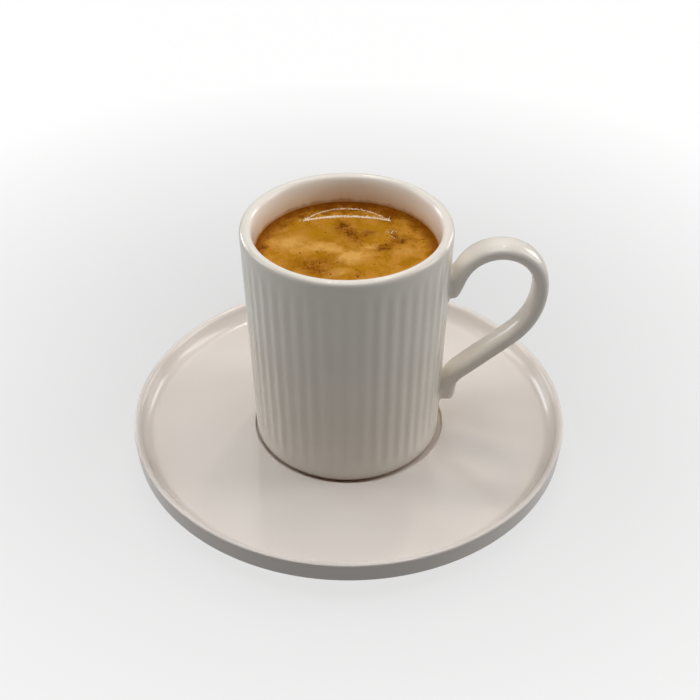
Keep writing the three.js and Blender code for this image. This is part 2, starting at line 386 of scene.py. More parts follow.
# Kinds of node with their setting. SPAN and EASE take a value, the ends it runs from and the ends it runs to.
SUMS = ("ADD", "SUBTRACT", "MULTIPLY", "DIVIDE", "POWER", "MAXIMUM", "GREATER_THAN", "ARCTAN2", "COSINE")
PLUS, MINUS, TIMES, OVER, POWER, LARGER, ABOVE, TURN, COSINE = (
    ("ShaderNodeMath", "operation", name) for name in SUMS
)
MOVES = ("ADD", "SUBTRACT", "MULTIPLY", "SCALE", "LENGTH", "NORMALIZE", "DISTANCE")
MOVED, AWAY, STRETCHED, SCALED, LENGTH, DIRECTION, DISTANCE = (
    ("ShaderNodeVectorMath", "operation", name) for name in MOVES
)
SPAN, EASE = (("ShaderNodeMapRange", "interpolation_type", name) for name in ("LINEAR", "SMOOTHSTEP"))
BLEND = ("ShaderNodeMix", "data_type", "RGBA")
NOISE = "ShaderNodeTexNoise"
# The middle of a noise colour, taken off so that a push goes all ways alike.
NO_PUSH = (0.5, 0.5, 0.5)
# The attribute that notes how deep a place lies between two ribs.
VALLEY = "valley"
# Widths of the patterns in glaze, film and painted bounce, crema, glint froth and grounds.
CLOUD_WIDTH, RIPPLE_WIDTH, DRIP_WIDTH = 22 * MM, 7 * MM, 4 * MM
STIR_WIDTH, MARBLE_WIDTH, GRANULE_WIDTH, FIZZ_WIDTH = 3 * MM, 4.5 * MM, 1 * MM, 0.35 * MM
TINT_WIDTH, GROUND_WIDTH = 0.6 * MM, 0.3 * MM
# How far glaze pools in the valleys and in its clouds.
VALLEY_POOL, CLOUD_POOL = 0.14, 0.12
# How far the upper edge of the film and its painted bounce light wanders up and down.
DRIP_REACH = 1.2 * MM
# The radii between which the outer glaze gives way to the inner one.
INSIDE = (25.6 * MM, 24.2 * MM)
# Heights above the coffee where its film and its stain on the wall begin and are full, and their strength.
# The film is partly painted bounce light from the crema.
FILM_AND_PAINTED_BOUNCE = (4.5 * MM, -0.3 * MM, 0, 0.48)
STAIN = (1.3 * MM, 0, 0, 0.7)
# How far stirring moves the crema's patches.
STIR_REACH = 4.5 * MM
# Radii where the thin foam of a broad ring and of the edge begins and is full, and its strength. The broad
# ring lies off the axis, along the back, and wavers; it is partly thin foam and partly painted shade from the
# back wall.
BROAD_RING_AND_SHADE = (22 * MM, 27 * MM, 0, 0.9)
EDGE_RING = (19.8 * MM, 22.8 * MM, 0, 0.75)
RING_SHIFT_TO_SHADE, RING_WAVER = (0, 4 * MM, 0), 8 * MM
# How thin a ring's foam is beside a dark patch's, and how much thin foam opens its granules.
RING_THINNESS, THIN_OPENING = 0.75, 0.22
# Shades of the marbling where amber ends and the main tone begins.
AMBER_END, CREMA_START = 0.42, 0.56
# How cloud sets gloss, thick foam paleness, granules brown and open spots, fizz shade and tint clearness.
GLOSS, PALENESS = (0.3, 0.7, 0.1, 0.16), (0.03, 0.46, 0, 0.9)
BROWNING, OPENING = (0.35, 0.6, 0.4), (0.62, 0.86)
SHADE, CLEARNESS = (0.3, 0.7, 0.93, 1.06), (0.45, 0.8, 0, 0.6)


def glazed_porcelain(name, finish, tone):
    """Glazed porcelain: fired glass over white clay, glossy with a faint ripple and a soft grey tone."""
    material, tree, shader = new_material(name)
    place = add(tree, "ShaderNodeTexCoord").outputs["Object"]
    cloud = add(tree, NOISE, {"Vector": place, "Scale": 1 / CLOUD_WIDTH, "Detail": 2.0})
    ripple = add(tree, NOISE, {"Vector": place, "Scale": 1 / RIPPLE_WIDTH, "Detail": 1.0})
    valley = add(tree, "ShaderNodeAttribute", attribute_name=VALLEY).outputs["Fac"]
    depth = add(tree, TIMES, (valley, VALLEY_POOL))
    drift = add(tree, TIMES, (cloud, CLOUD_POOL))
    thick = add(tree, PLUS, (depth, drift))
    glaze = add(tree, BLEND, {"Factor": thick, "A": (*tone, 1), "B": (*finish.pooled, 1)})
    gloss = add(tree, SPAN, (cloud, *GLOSS))
    bump = add(tree, "ShaderNodeBump", {"Height": ripple, "Strength": 0.15, "Distance": 0.05 * MM})
    fill(tree, shader, {"Base Color": glaze, "Roughness": gloss, "Normal": bump, "IOR": 1.5})
    return material


def from_middle(tree):
    """A place as seen from the middle of the coffee's surface, and the same place without its height."""
    place = add(tree, "ShaderNodeTexCoord").outputs["Object"]
    centred = add(tree, "ShaderNodeMapping", {"Vector": place, "Location": (-CUP_AXIS, 0, -COFFEE_HIGH.z)})
    return centred, add(tree, STRETCHED, (centred, (1, 1, 0)))


def filmed_porcelain_with_painted_light(material, finish):
    """The cup's inside: the same glaze painted whiter as painted light, and a thin brown film where the
    coffee has wetted it, partly painted bounce from the crema.
    """
    tree = material.node_tree
    shader = tree.nodes["Principled BSDF"]
    layer = shader.inputs["Base Color"].links[0].from_socket
    place, flat = from_middle(tree)
    radius = add(tree, LENGTH, (flat,))
    inside = add(tree, EASE, (radius, *INSIDE))
    height = add(tree, "ShaderNodeSeparateXYZ", {0: place}).outputs["Z"]
    drips = add(tree, NOISE, {"Vector": flat, "Scale": 1 / DRIP_WIDTH, "Detail": 3.0})
    wander = add(tree, SPAN, (drips, 0, 1, -DRIP_REACH, DRIP_REACH))
    wetted = add(tree, PLUS, (height, wander))
    # The whiter inner glaze is painted light inside the cup.
    layer = add(tree, BLEND, {"Factor": inside, "A": layer, "B": (*finish.inside, 1)})
    # The film's band is partly painted warm light bounced from the crema.
    for heights, tone in ((FILM_AND_PAINTED_BOUNCE, finish.film_and_painted_bounce), (STAIN, finish.crema)):
        wet = add(tree, EASE, (wetted, *heights))
        wet_inside = add(tree, TIMES, (wet, inside))
        layer = add(tree, BLEND, {"Factor": wet_inside, "A": layer, "B": (*tone, 1)})
    fill(tree, shader, {"Base Color": layer})
    return material


# Where coffee shows through the foam, where the foam is clear and golden, and where it is thick and pale:
# across, back, half length, half width in millimetres from the cup's axis, turn in degrees and strength.
DARK_PATCHES = (
    (-1.3, 12.8, 2.6, 3.0, 0, 1.0),
    (1.0, 8.6, 5.2, 2.4, -62, 0.95),
    (4.8, 9.2, 3.0, 1.5, 25, 0.8),
    (2.4, 5.8, 2.2, 1.5, 0, 0.7),
    (12.2, 8.0, 2.8, 1.3, -75, 0.8),
    (13.8, 5.4, 3.8, 1.9, 25, 1.0),
    (9.6, 2.2, 3.8, 1.5, 24, 0.9),
    (-8.4, -4.8, 7.4, 2.8, 4, 0.75),
    (-8.0, -8.0, 5.6, 3.0, -24, 0.85),
    (-21.6, 1.2, 2.2, 1.5, 75, 1.0),
    (-18.5, 9.5, 3.4, 1.6, 60, 0.5),
    (-20.8, 5.2, 3.8, 1.1, 76, 0.7),
    (18.6, 9.4, 3.6, 1.6, -55, 0.3),
    (3.0, -9.8, 2.4, 1.4, 10, 0.5),
)
GOLD_PATCHES = (
    (-7.5, 9.0, 4.2, 3.2, 20, 1.0),
    (-4.6, 13.6, 3.2, 1.8, 0, 0.8),
    (6.6, 12.0, 4.6, 2.0, -20, 0.9),
    (-14.0, 12.0, 4.0, 2.2, 35, 0.7),
    (-13.0, -3.5, 4.0, 2.4, -30, 0.6),
    (5.0, -7.0, 7.0, 3.0, 8, 0.5),
    (9.5, 6.0, 2.4, 3.4, 0, 0.6),
)
PALE_PATCHES = (
    (1.4, -2.0, 4.6, 3.6, 20, 1.0),
    (-14.2, 4.2, 6.4, 4.2, -14, 0.78),
    (-7.0, 2.6, 5.6, 2.2, -8, 0.8),
    (-2.4, -9.4, 3.0, 1.8, 35, 0.95),
    (-3.4, 1.4, 4.2, 1.8, -12, 0.8),
    (5.6, 2.2, 3.4, 1.2, 30, 0.8),
    (15.0, 0.4, 4.6, 1.8, 12, 0.5),
    (11.6, 9.8, 1.6, 1.2, 0, 0.6),
    (-17.0, 10.5, 3.0, 1.2, 40, 0.4),
)
# A patch is full inside this share of its size, and gone outside the other.
PATCH_FULL, PATCH_GONE = 0.1, 1.45


def patch_mask(tree, place, patches):
    """How far a place lies inside any of the patches, from 0 to 1."""
    mask = None
    for across, back, half_length, half_width, turn, strength in patches:
        lie = {"Location": (across * MM, back * MM, 0), "Rotation": (0, 0, math.radians(turn))}
        lie["Scale"] = (half_length * MM, half_width * MM, 1)
        ellipse = add(tree, "ShaderNodeMapping", {"Vector": place, **lie}, vector_type="TEXTURE")
        far = add(tree, LENGTH, (ellipse,))
        inside = add(tree, EASE, (far, PATCH_FULL, PATCH_GONE, strength, 0))
        mask = add(tree, LARGER, (mask, inside)) if mask else inside
    return mask


def crema_foam(finish):
    """Crema: fine brown foam on espresso, wet and glossy, marbled where the foam is thick or thin."""
    material, tree, shader = new_material("crema_foam")
    place, flat = from_middle(tree)
    stir = add(tree, NOISE, {"Vector": flat, "Scale": 1 / STIR_WIDTH, "Detail": 5.0, "Roughness": 0.65})
    push = add(tree, AWAY, (stir.outputs["Color"], NO_PUSH))
    pull = add(tree, SCALED, {0: push, "Scale": STIR_REACH})
    stirred = add(tree, MOVED, (flat, pull))
    marble = add(tree, NOISE, {"Vector": stirred, "Scale": 1 / MARBLE_WIDTH, "Detail": 6.0, "Roughness": 0.6})
    granules = add(tree, NOISE, {"Vector": flat, "Scale": 1 / GRANULE_WIDTH, "Detail": 4.0, "Roughness": 0.7})
    fizz = add(tree, NOISE, {"Vector": place, "Scale": 1 / FIZZ_WIDTH, "Detail": 2.0})
    layer = add(tree, "ShaderNodeValToRGB", {"Fac": marble})
    ramp = layer.color_ramp.elements
    ramp[0].position, ramp[0].color = AMBER_END, (*finish.amber, 1)
    ramp[1].position, ramp[1].color = CREMA_START, (*finish.crema, 1)
    gold = patch_mask(tree, stirred, GOLD_PATCHES)
    thick = add(tree, TIMES, (patch_mask(tree, stirred, PALE_PATCHES), marble))
    pale = add(tree, SPAN, (thick, *PALENESS))
    # A broad ring centred in front of the axis darkens the back of the crema: partly thin foam, partly
    # painted shade from the back wall.
    shifted_to_shade = add(tree, MOVED, (stirred, RING_SHIFT_TO_SHADE))
    around = add(tree, LENGTH, (shifted_to_shade,))
    waver = add(tree, SPAN, (marble, 0, 1, RING_WAVER, -RING_WAVER))
    uneven = add(tree, PLUS, (around, waver))
    ring = add(tree, EASE, (uneven, *BROAD_RING_AND_SHADE))
    apart = add(tree, LENGTH, (stirred,))
    edge = add(tree, EASE, (apart, *EDGE_RING))
    rings = add(tree, LARGER, (ring, edge))
    thinned = add(tree, TIMES, (rings, RING_THINNESS))
    mask = add(tree, LARGER, (patch_mask(tree, stirred, DARK_PATCHES), thinned))
    soft = add(tree, SPAN, (granules, *BROWNING))
    brown = add(tree, TIMES, (mask, soft))
    near = add(tree, TIMES, (mask, THIN_OPENING))
    thin = add(tree, PLUS, (near, granules))
    spots = add(tree, EASE, (thin, *OPENING))
    show = add(tree, TIMES, (spots, mask))
    # The ring's cover is partly painted shade along the back.
    covers = {"gold": gold, "pale": pale, "ring": rings, "brown": brown, "dark": show}
    for tone, cover in covers.items():
        layer = add(tree, BLEND, {"Factor": cover, "A": layer, "B": (*getattr(finish, tone), 1)})
    grain = add(tree, SPAN, (fizz, *SHADE))
    grained = add(tree, BLEND, {"Factor": 1.0, "A": layer, "B": grain}, blend_type="MULTIPLY")
    bump = add(tree, "ShaderNodeBump", {"Height": fizz, "Strength": 0.35, "Distance": 0.04 * MM})
    fill(tree, shader, {"Base Color": grained, "Normal": bump})
    fill(tree, shader, {"Roughness": 0.28, "IOR": 1.34, "Specular IOR Level": 0.06})
    return material


def crema_glint_froth(finish):
    """Glint froth: rows of tiny clear bubbles, so pale and glossy that they read as a bright line, a painted
    highlight of the arcs the crema reflects.
    """
    material, tree, shader = new_material("crema_glint_froth")
    place = add(tree, "ShaderNodeTexCoord").outputs["Object"]
    tint = add(tree, NOISE, {"Vector": place, "Scale": 1 / TINT_WIDTH, "Detail": 1.0})
    clear = add(tree, SPAN, (tint, *CLEARNESS))
    tone = add(tree, BLEND, {"Factor": clear, "A": (*finish.froth, 1), "B": (*finish.pale, 1)})
    fill(tree, shader, {"Base Color": tone, "Roughness": 0.08, "IOR": 1.34})
    return material


def coffee_grounds(finish):
    """Ground coffee: roasted bean dust, nearly black and dull, with brown grains."""
    material, tree, shader = new_material("coffee_grounds")
    place = add(tree, "ShaderNodeTexCoord").outputs["Object"]
    grain = add(tree, NOISE, {"Vector": place, "Scale": 1 / GROUND_WIDTH, "Detail": 2.0})
    tone = add(tree, BLEND, {"Factor": grain, "A": (*finish.grounds, 1), "B": (*finish.dark, 1)})
    fill(tree, shader, {"Base Color": tone, "Roughness": 0.6, "Specular IOR Level": 0.1})
    return material


def saucer_outline(sizes):
    """From the axis out under the plate, up over the rim and in across the well."""
    plate = sizes.height - sizes.rim_height
    floor = plate - sizes.well_depth
    slope = sizes.ring_slope
    ring_in = sizes.ring_radius - sizes.ring_flat / 2
    ring_out = sizes.ring_radius + sizes.ring_flat / 2
    ring_edge = sizes.ring_flat / 4
    belly_start = (ring_out + 3 * slope, sizes.ring_outer * 1.02)
    under_across = sizes.radius - sizes.wall_taper - sizes.under_bend
    under_start = under_across + sizes.under_bend * math.cos(sizes.under_angle)
    under_height = sizes.wall_bottom + sizes.under_bend * math.sin(sizes.under_angle)
    rim_edge = sizes.rim_edge
    bead_in = sizes.radius - sizes.bead_width
    bead_low = sizes.height - sizes.bead
    cove_in = bead_in - sizes.cove
    edge = sizes.well_edge
    line = Outline(0, sizes.underside)
    line.line(ring_in - 2 * slope, sizes.underside, 6)
    line.curve((ring_in - slope, sizes.underside), (ring_in - slope / 2, sizes.underside / 2))
    line.curve((ring_in, 0), (ring_in + ring_edge, 0))
    line.line(ring_out - ring_edge, 0)
    line.curve((ring_out, 0), (ring_out + slope / 2, sizes.ring_outer / 2))
    line.curve((ring_out + slope, sizes.ring_outer), belly_start)
    line.curve((sizes.belly_radius, sizes.belly_height), (under_start, under_height), steps=24)
    line.arc(under_across, sizes.wall_bottom, sizes.under_bend, sizes.under_angle, 0)
    line.line(sizes.radius, sizes.height - rim_edge, 2)
    line.arc(sizes.radius - rim_edge, sizes.height - rim_edge, rim_edge, 0, math.pi / 2, 10)
    line.curve((bead_in + sizes.lean * sizes.bead, sizes.height), (bead_in, bead_low), steps=16)
    line.curve((bead_in - sizes.lean * (sizes.rim_height - sizes.bead), plate), (cove_in, plate), steps=20)
    line.line(sizes.well_radius + edge, plate, 12)
    line.arc(sizes.well_radius + edge, plate - edge, edge, math.pi / 2, math.pi, 8)
    line.line(sizes.well_radius, floor + edge)
    line.arc(sizes.well_radius - edge, floor + edge, edge, 0, -math.pi / 2, 6)
    return line.line(0, floor, 8)


def inner_radius(sizes, height):
    """Radius of the cup's cavity at a height above the foot, below its shoulder."""
    low = sizes.base + sizes.inner_corner
    high = CUP_HEIGHT - sizes.lip_inner
    return sizes.inner_bottom + (sizes.inner_top - sizes.inner_bottom) * (height - low) / (high - low)


def outer_radius(sizes, height):
    """Radius of the cup's wall over its ribs, at a height above the foot."""
    spread = sizes.lip_radius - sizes.foot_radius
    return sizes.foot_radius + spread * height / (CUP_HEIGHT - sizes.lip_bead)


def wall_outline(sizes):
    """From the axis out under the foot, up the wall, over the lip and down to the cavity's floor."""
    top = CUP_HEIGHT
    lip_across = sizes.lip_radius - sizes.lip_bead
    lip_outer, lip_inner = top - sizes.lip_outer, top - sizes.lip_inner
    rise, inner_rise = top - sizes.lip_rise * sizes.lip_outer, top - sizes.lip_inner_rise * sizes.lip_inner
    crown, inner_crown = sizes.lip_crown * sizes.lip_bead, sizes.lip_inner_crown * sizes.lip_bead
    foot = outer_radius(sizes, sizes.foot_edge) - sizes.foot_edge
    depth = sizes.recess_depth
    recess = sizes.recess_radius - depth
    corner = sizes.inner_corner
    line = Outline(0, depth)
    line.line(recess - depth, depth, 3)
    line.curve((recess, depth), (recess + depth / 2, depth / 2), steps=4)
    line.curve((recess + depth, 0), (recess + 2 * depth, 0), steps=4)
    line.line(foot, 0)
    line.arc(foot, sizes.foot_edge, sizes.foot_edge, -math.pi / 2, 0, 8)
    line.line(outer_radius(sizes, lip_outer), lip_outer, 60)
    line.curve((outer_radius(sizes, rise), rise), (lip_across + crown, top), (lip_across, top), steps=12)
    lip_turn, lip_end = ((inner_radius(sizes, height), height) for height in (inner_rise, lip_inner))
    line.curve((lip_across - inner_crown, top), lip_turn, lip_end, steps=16)
    line.line(sizes.inner_bottom, sizes.base + corner, 8)
    line.arc(sizes.inner_bottom - corner, sizes.base + corner, corner, 0, -math.pi / 2, 8)
    return line.line(0, sizes.base, 4)


def rib_rule():
    """Presses valleys into the outside of an upright wall, and notes how deep each place lies."""
    numbers = ("Axis", "Foot", "Middle", "Depth", "First", "Low", "High", "Fade")
    tree, given = rule_tree("Ribbed wall", *numbers, Count="Int")
    centre = add(tree, "ShaderNodeCombineXYZ", {"X": given["Axis"], "Z": given["Foot"]})
    place = add(tree, AWAY, (add(tree, "GeometryNodeInputPosition"), centre))
    parts = add(tree, "ShaderNodeSeparateXYZ", {0: place}).outputs
    outward = add(tree, "ShaderNodeCombineXYZ", {"X": parts["X"], "Y": parts["Y"]})
    radius = add(tree, LENGTH, (outward,))
    outside = add(tree, ABOVE, (radius, given["Middle"]))
    turn = add(tree, TURN, (parts["Y"], parts["X"]))
    from_first = add(tree, MINUS, (turn, given["First"]))
    wave = add(tree, TIMES, (from_first, given["Count"]))
    ridge = add(tree, COSINE, (wave,))
    depth = add(tree, SPAN, (ridge, 1.0, -1.0))
    for end, inner in (("Low", PLUS), ("High", MINUS)):
        full = add(tree, inner, (given[end], given["Fade"]))
        fade = add(tree, EASE, (parts["Z"], given[end], full))
        depth = add(tree, TIMES, (depth, fade))
    depth = add(tree, TIMES, (depth, outside))
    inward = add(tree, TIMES, (given["Depth"], -1.0))
    press = add(tree, TIMES, (depth, inward))
    straight = add(tree, DIRECTION, (outward,))
    offset = add(tree, SCALED, {0: straight, "Scale": press})
    pressed = add(tree, "GeometryNodeSetPosition", {"Geometry": given["Geometry"], "Offset": offset})
    note = {"Geometry": pressed, "Name": VALLEY, "Value": depth}
    return closed_tree(tree, given, add(tree, "GeometryNodeStoreNamedAttribute", note, domain="POINT"))


def strap_line(sizes):
    """The strap's middle line: upper root, loop, shoulder, arm and lower root."""
    inward = np.array((math.cos(sizes.loop_end), math.sin(sizes.loop_end)))
    outward = np.array((math.cos(sizes.arm_angle), math.sin(sizes.arm_angle)))
    along = np.array((outward[1], -outward[0]))
    loop = np.array((sizes.loop_across, sizes.loop_height))
    shoulder = loop + inward * (sizes.loop_radius - sizes.shoulder)
    arm_start = shoulder + outward * sizes.shoulder
    bend = arm_start + along * sizes.arm
    root = np.array((sizes.lower_root, sizes.lower_height))
    down = (root - bend) / np.linalg.norm(root - bend)
    line = Outline(sizes.upper_root, sizes.upper_height)
    line.arc(*loop, sizes.loop_radius, sizes.loop_start, sizes.loop_end, 60)
    line.arc(*shoulder, sizes.shoulder, sizes.loop_end, sizes.arm_angle, 40)
    line.line(*(bend - along * sizes.lower_bend))
    line.curve(bend, bend + down * sizes.lower_bend, steps=20)
    return line.line(*root)


# Rings along the strap, how far they crowd to its ends, facets round it, and the stretch that gives its way.
STRAP_RINGS, STRAP_CROWDING, STRAP_SIDES, STRAP_STRETCH = 260, 0.75, 64, 0.4 * MM


def strap_mesh(sizes, cup):
    """A rounded strap along its line, whose roots spread in a hollow curve onto the cup's wall."""
    points = np.array(strap_line(sizes).points)
    run = np.concatenate(([0], np.cumsum(np.linalg.norm(np.diff(points, axis=0), axis=1))))
    steps = np.linspace(0, 1, STRAP_RINGS)
    crowded = steps - STRAP_CROWDING * np.sin(2 * math.pi * steps) / (2 * math.pi)
    along = crowded[1:-1] * run[-1]
    middle, ahead, behind = (
        np.stack([np.interp(along + shift, run, points[:, i]) for i in (0, 1)], 1)
        for shift in (0, STRAP_STRETCH, -STRAP_STRETCH)
    )
    tangent = ahead - behind
    tangent /= np.linalg.norm(tangent, axis=1)[:, None]
    from_end = np.minimum(along, run[-1] - along)
    to_cap = np.clip(1 - from_end / sizes.cap, 0, 1)
    to_root = np.clip(1 - from_end / sizes.flare_length, 0, 1)
    cap = (1 - to_cap**sizes.cap_roundness) ** (1 / sizes.cap_roundness)
    thick = sizes.thickness * cap * (1 + sizes.flare * to_root * (2 - to_root))
    wide = sizes.width * cap
    turn = np.arange(STRAP_SIDES) * 2 * math.pi / STRAP_SIDES
    soft = [np.sign(f(turn)) * np.abs(f(turn)) ** (2 / sizes.roundness) for f in (np.cos, np.sin)]
    across = middle[:, 0, None] + (tangent[:, 1] * thick)[:, None] * soft[0]
    up = middle[:, 1, None] - (tangent[:, 0] * thick)[:, None] * soft[0]
    rings = np.stack((across + CUP_AXIS, wide[:, None] * soft[1], up + CUP_LOW.z), -1)
    poles = [(points[i, 0] + CUP_AXIS, 0, points[i, 1] + CUP_LOW.z) for i in (0, -1)]
    mesh = closed_mesh("strap", rings, *poles)
    form = bmesh.new()
    form.from_mesh(mesh)
    bmesh.ops.recalc_face_normals(form, faces=form.faces)
    form.normal_update()
    moves = []
    for vertex in form.verts:
        out = Vector((vertex.co.x - CUP_AXIS, vertex.co.y, 0))
        gap = out.length - outer_radius(cup, vertex.co.z - CUP_LOW.z)
        reach = min(max(gap, 0), sizes.fillet)
        spread = sizes.fillet - math.sqrt(sizes.fillet**2 - (sizes.fillet - reach) ** 2)
        out.normalize()
        moves.append((vertex.normal - out * vertex.normal.dot(out)) * spread)
    for vertex, move in zip(form.verts, moves):
        vertex.co += move
    form.to_mesh(mesh)
    form.free()
    return mesh


def coffee_outline(sizes, cup):
    """From the axis along the cup's floor, up just inside its wall and in over the surface."""
    floor = COFFEE_LOW.z - CUP_LOW.z
    edge = inner_radius(cup, COFFEE_LEVEL) + sizes.bite
    corner = cup.inner_corner
    side = cup.inner_bottom + sizes.bite
    line = Outline(0, floor)
    line.line(side - corner, floor, 3)
    line.curve((side, floor), (side, floor + corner), steps=6)
    line.line(edge, COFFEE_LEVEL, 4)
    for across in np.linspace(edge, 0, sizes.rings)[1:]:
        climb = math.exp((across - edge) / sizes.climb_width)
        line.points.append(np.array((across, COFFEE_LEVEL - sizes.climb * (1 - climb))))
    return line


# The share of the surface's radius inside which its lumps are full.
LUMPS_FULL = 0.8


def crema_rule():
    """Lifts and sinks the middle of the coffee's surface in soft lumps that fade at the wall."""
    tree, given = rule_tree("Uneven crema", "Axis", "Edge", "Bottom", "Height", "Lump")
    parts = add(tree, "ShaderNodeSeparateXYZ", {0: add(tree, "GeometryNodeInputPosition")}).outputs
    across = add(tree, MINUS, (parts["X"], given["Axis"]))
    flat = add(tree, "ShaderNodeCombineXYZ", {"X": across, "Y": parts["Y"]})
    radius = add(tree, LENGTH, (flat,))
    inner = add(tree, TIMES, (given["Edge"], LUMPS_FULL))
    inside = add(tree, EASE, (radius, given["Edge"], inner))
    top = add(tree, ABOVE, (parts["Z"], given["Bottom"]))
    scale = add(tree, OVER, (1.0, given["Lump"]))
    lumps = add(tree, NOISE, {"Vector": flat, "Scale": scale, "Detail": 3.0, "Roughness": 0.45})
    lift = add(tree, MINUS, (lumps, 0.5))
    for factor in (given["Height"], inside, top):
        lift = add(tree, TIMES, (lift, factor))
    offset = add(tree, "ShaderNodeCombineXYZ", {"Z": lift})
    moved = add(tree, "GeometryNodeSetPosition", {"Geometry": given["Geometry"], "Offset": offset})
    return closed_tree(tree, given, moved)


def dome(tree, height=1.0):
    """A small ball, pressed down to a share of its height."""
    ball = add(tree, "GeometryNodeMeshUVSphere", {"Segments": 8, "Rings": 5, "Radius": 1.0})
    flat = add(tree, "GeometryNodeTransform", {"Geometry": ball, "Scale": (1, 1, height)})
    return add(tree, "GeometryNodeSetShadeSmooth", {"Geometry": flat})


def uneven_grain(tree):
    """An uneven grain, wider than it is high."""
    ball = add(tree, "GeometryNodeMeshIcoSphere", {"Radius": 1.0, "Subdivisions": 2})
    dent = add(tree, NOISE, {"Scale": 1.3, "Detail": 1.0})
    push = add(tree, AWAY, (dent.outputs["Color"], NO_PUSH))
    uneven = add(tree, "GeometryNodeSetPosition", {"Geometry": ball, "Offset": push})
    return add(tree, "GeometryNodeTransform", {"Geometry": uneven, "Scale": (1, 0.75, 0.35)})


# How level a face has to be to carry bubbles, how rare the large ones are, and how high they stand.
LEVEL_ENOUGH, BUBBLE_RARITY, BUBBLE_HEIGHT = 0.8, 3.0, 0.6


def bubble_rule():
    """Scatters small domes over the faces of a mesh that look up near the top."""
    tree, given = rule_tree("Crema bubbles", "Bottom", "Spacing", "Smallest", "Largest", Seed="Int")
    height = add(tree, "ShaderNodeSeparateXYZ", {0: add(tree, "GeometryNodeInputPosition")}).outputs["Z"]
    facing = add(tree, "ShaderNodeSeparateXYZ", {0: add(tree, "GeometryNodeInputNormal")}).outputs["Z"]
    above = add(tree, ABOVE, (height, given["Bottom"]))
    upward = add(tree, ABOVE, (facing, LEVEL_ENOUGH))
    there = add(tree, TIMES, (above, upward))
    area = add(tree, POWER, (given["Spacing"], 2.0))
    density = add(tree, OVER, (1.0, area))
    sown = {"Mesh": given["Geometry"], "Selection": there, "Density": density, "Seed": given["Seed"]}
    points = add(tree, "GeometryNodeDistributePointsOnFaces", sown, distribute_method="RANDOM")
    chance = add(tree, "FunctionNodeRandomValue", {"Seed": given["Seed"]}, data_type="FLOAT")
    rare = add(tree, POWER, (chance, BUBBLE_RARITY))
    size = add(tree, SPAN, (rare, 0, 1, given["Smallest"], given["Largest"]))
    copies = {"Points": points, "Instance": dome(tree, BUBBLE_HEIGHT), "Scale": size}
    return closed_tree(tree, given, add(tree, "GeometryNodeInstanceOnPoints", copies))


def spot_rule(name, shape, most_turned):
    """Puts a shape on every point of a mesh, each of its own size and turn."""
    tree, given = rule_tree(name, "Smallest", "Largest", Seed="Int")
    points = add(tree, "GeometryNodeMeshToPoints", {"Mesh": given["Geometry"]})
    sizes = {"Min": given["Smallest"], "Max": given["Largest"], "Seed": given["Seed"]}
    size = add(tree, "FunctionNodeRandomValue", sizes, data_type="FLOAT")
    turns = {"Min": (0, 0, 0), "Max": most_turned, "Seed": given["Seed"]}
    turn = add(tree, "FunctionNodeRandomValue", turns, data_type="FLOAT_VECTOR")
    copies = {"Points": points, "Instance": shape(tree), "Rotation": turn, "Scale": size}
    return closed_tree(tree, given, add(tree, "GeometryNodeInstanceOnPoints", copies))


# Groups of specks: across and back in millimetres from the cup's axis, spread and number.
SPECK_GROUPS = (
    (-1.2, 12.6, 0.9, 8),
    (0.4, 9.8, 1.2, 5),
    (3.6, 8.6, 1.8, 5),
    (12.0, 7.6, 0.9, 7),
    (13.6, 5.2, 1.2, 6),
    (10.2, 2.6, 1.6, 8),
    (-8.4, -4.8, 3.4, 6),
    (-7.6, -8.0, 2.8, 6),
    (3.0, -9.6, 1.2, 4),
    (-19.6, 3.2, 0.8, 5),
    (-15.8, 12.6, 1.2, 6),
    (16.8, 10.8, 1.4, 6),
    (19.4, 4.6, 0.8, 4),
    (0.0, 2.0, 12.0, 18),
)
# Specks lie inside this radius in millimetres. They are turned up to these angles, and the glint froth isn't
# turned.
SPECK_REACH = 21
SPECK_TURN, GLINT_FROTH_TURN = (0.4, 0.4, 2 * math.pi), (0, 0, 0)
# Rows of glint froth, pale bubbles that paint the bright arcs reflected in the crema: place of each row's
# crown in millimetres across and back from the cup's axis, its bend, its half length, its width in the middle
# and the number of bubbles.
GLINT_FROTH_ROWS = (
    (0.0, 17.3, 30.0, 11.6, 0.24, 900),
    (-0.2, 20.8, 13.6, 10.6, 0.14, 200),
)
# How much thinner a row is at its ends.
GLINT_FROTH_THINNING = 0.6
# Small heaps of glint froth, pale like the rows: across and back in millimetres from the cup's axis, spread
# and number.
GLINT_FROTH_HEAPS = (
    (-10.6, 15.7, 0.4, 24),
    (10.8, 15.5, 0.4, 24),
    (11.5, 9.8, 0.6, 9),
    (12.3, 7.2, 0.5, 5),
    (-12.2, 15.0, 0.5, 7),
)


def glint_froth_places(sizes):
    """Places along each row, thinner to its ends, and in small heaps."""
    draw = np.random.default_rng(sizes.seed)
    places = []
    for across, crown, bend, half_length, width, number in GLINT_FROTH_ROWS:
        along = draw.uniform(-1, 1, number)
        side = draw.normal(0, 1, number) * width * (1 - GLINT_FROTH_THINNING * along**2)
        turn = along * math.asin(min(half_length / bend, 1))
        far = bend + side
        places += list(zip(across + far * np.sin(turn), crown - bend + far * np.cos(turn)))
    for across, back, spread, number in GLINT_FROTH_HEAPS:
        places += list(draw.normal((across, back), spread, (number, 2)))
    return places


def speck_places(sizes):
    """Places in groups, and a few stray ones."""
    draw = np.random.default_rng(sizes.seed)
    groups = []
    for across, back, spread, number in SPECK_GROUPS:
        groups.append(draw.normal((across, back), spread, (number, 2)))
    return [place for place in np.concatenate(groups) if np.linalg.norm(place) < SPECK_REACH]


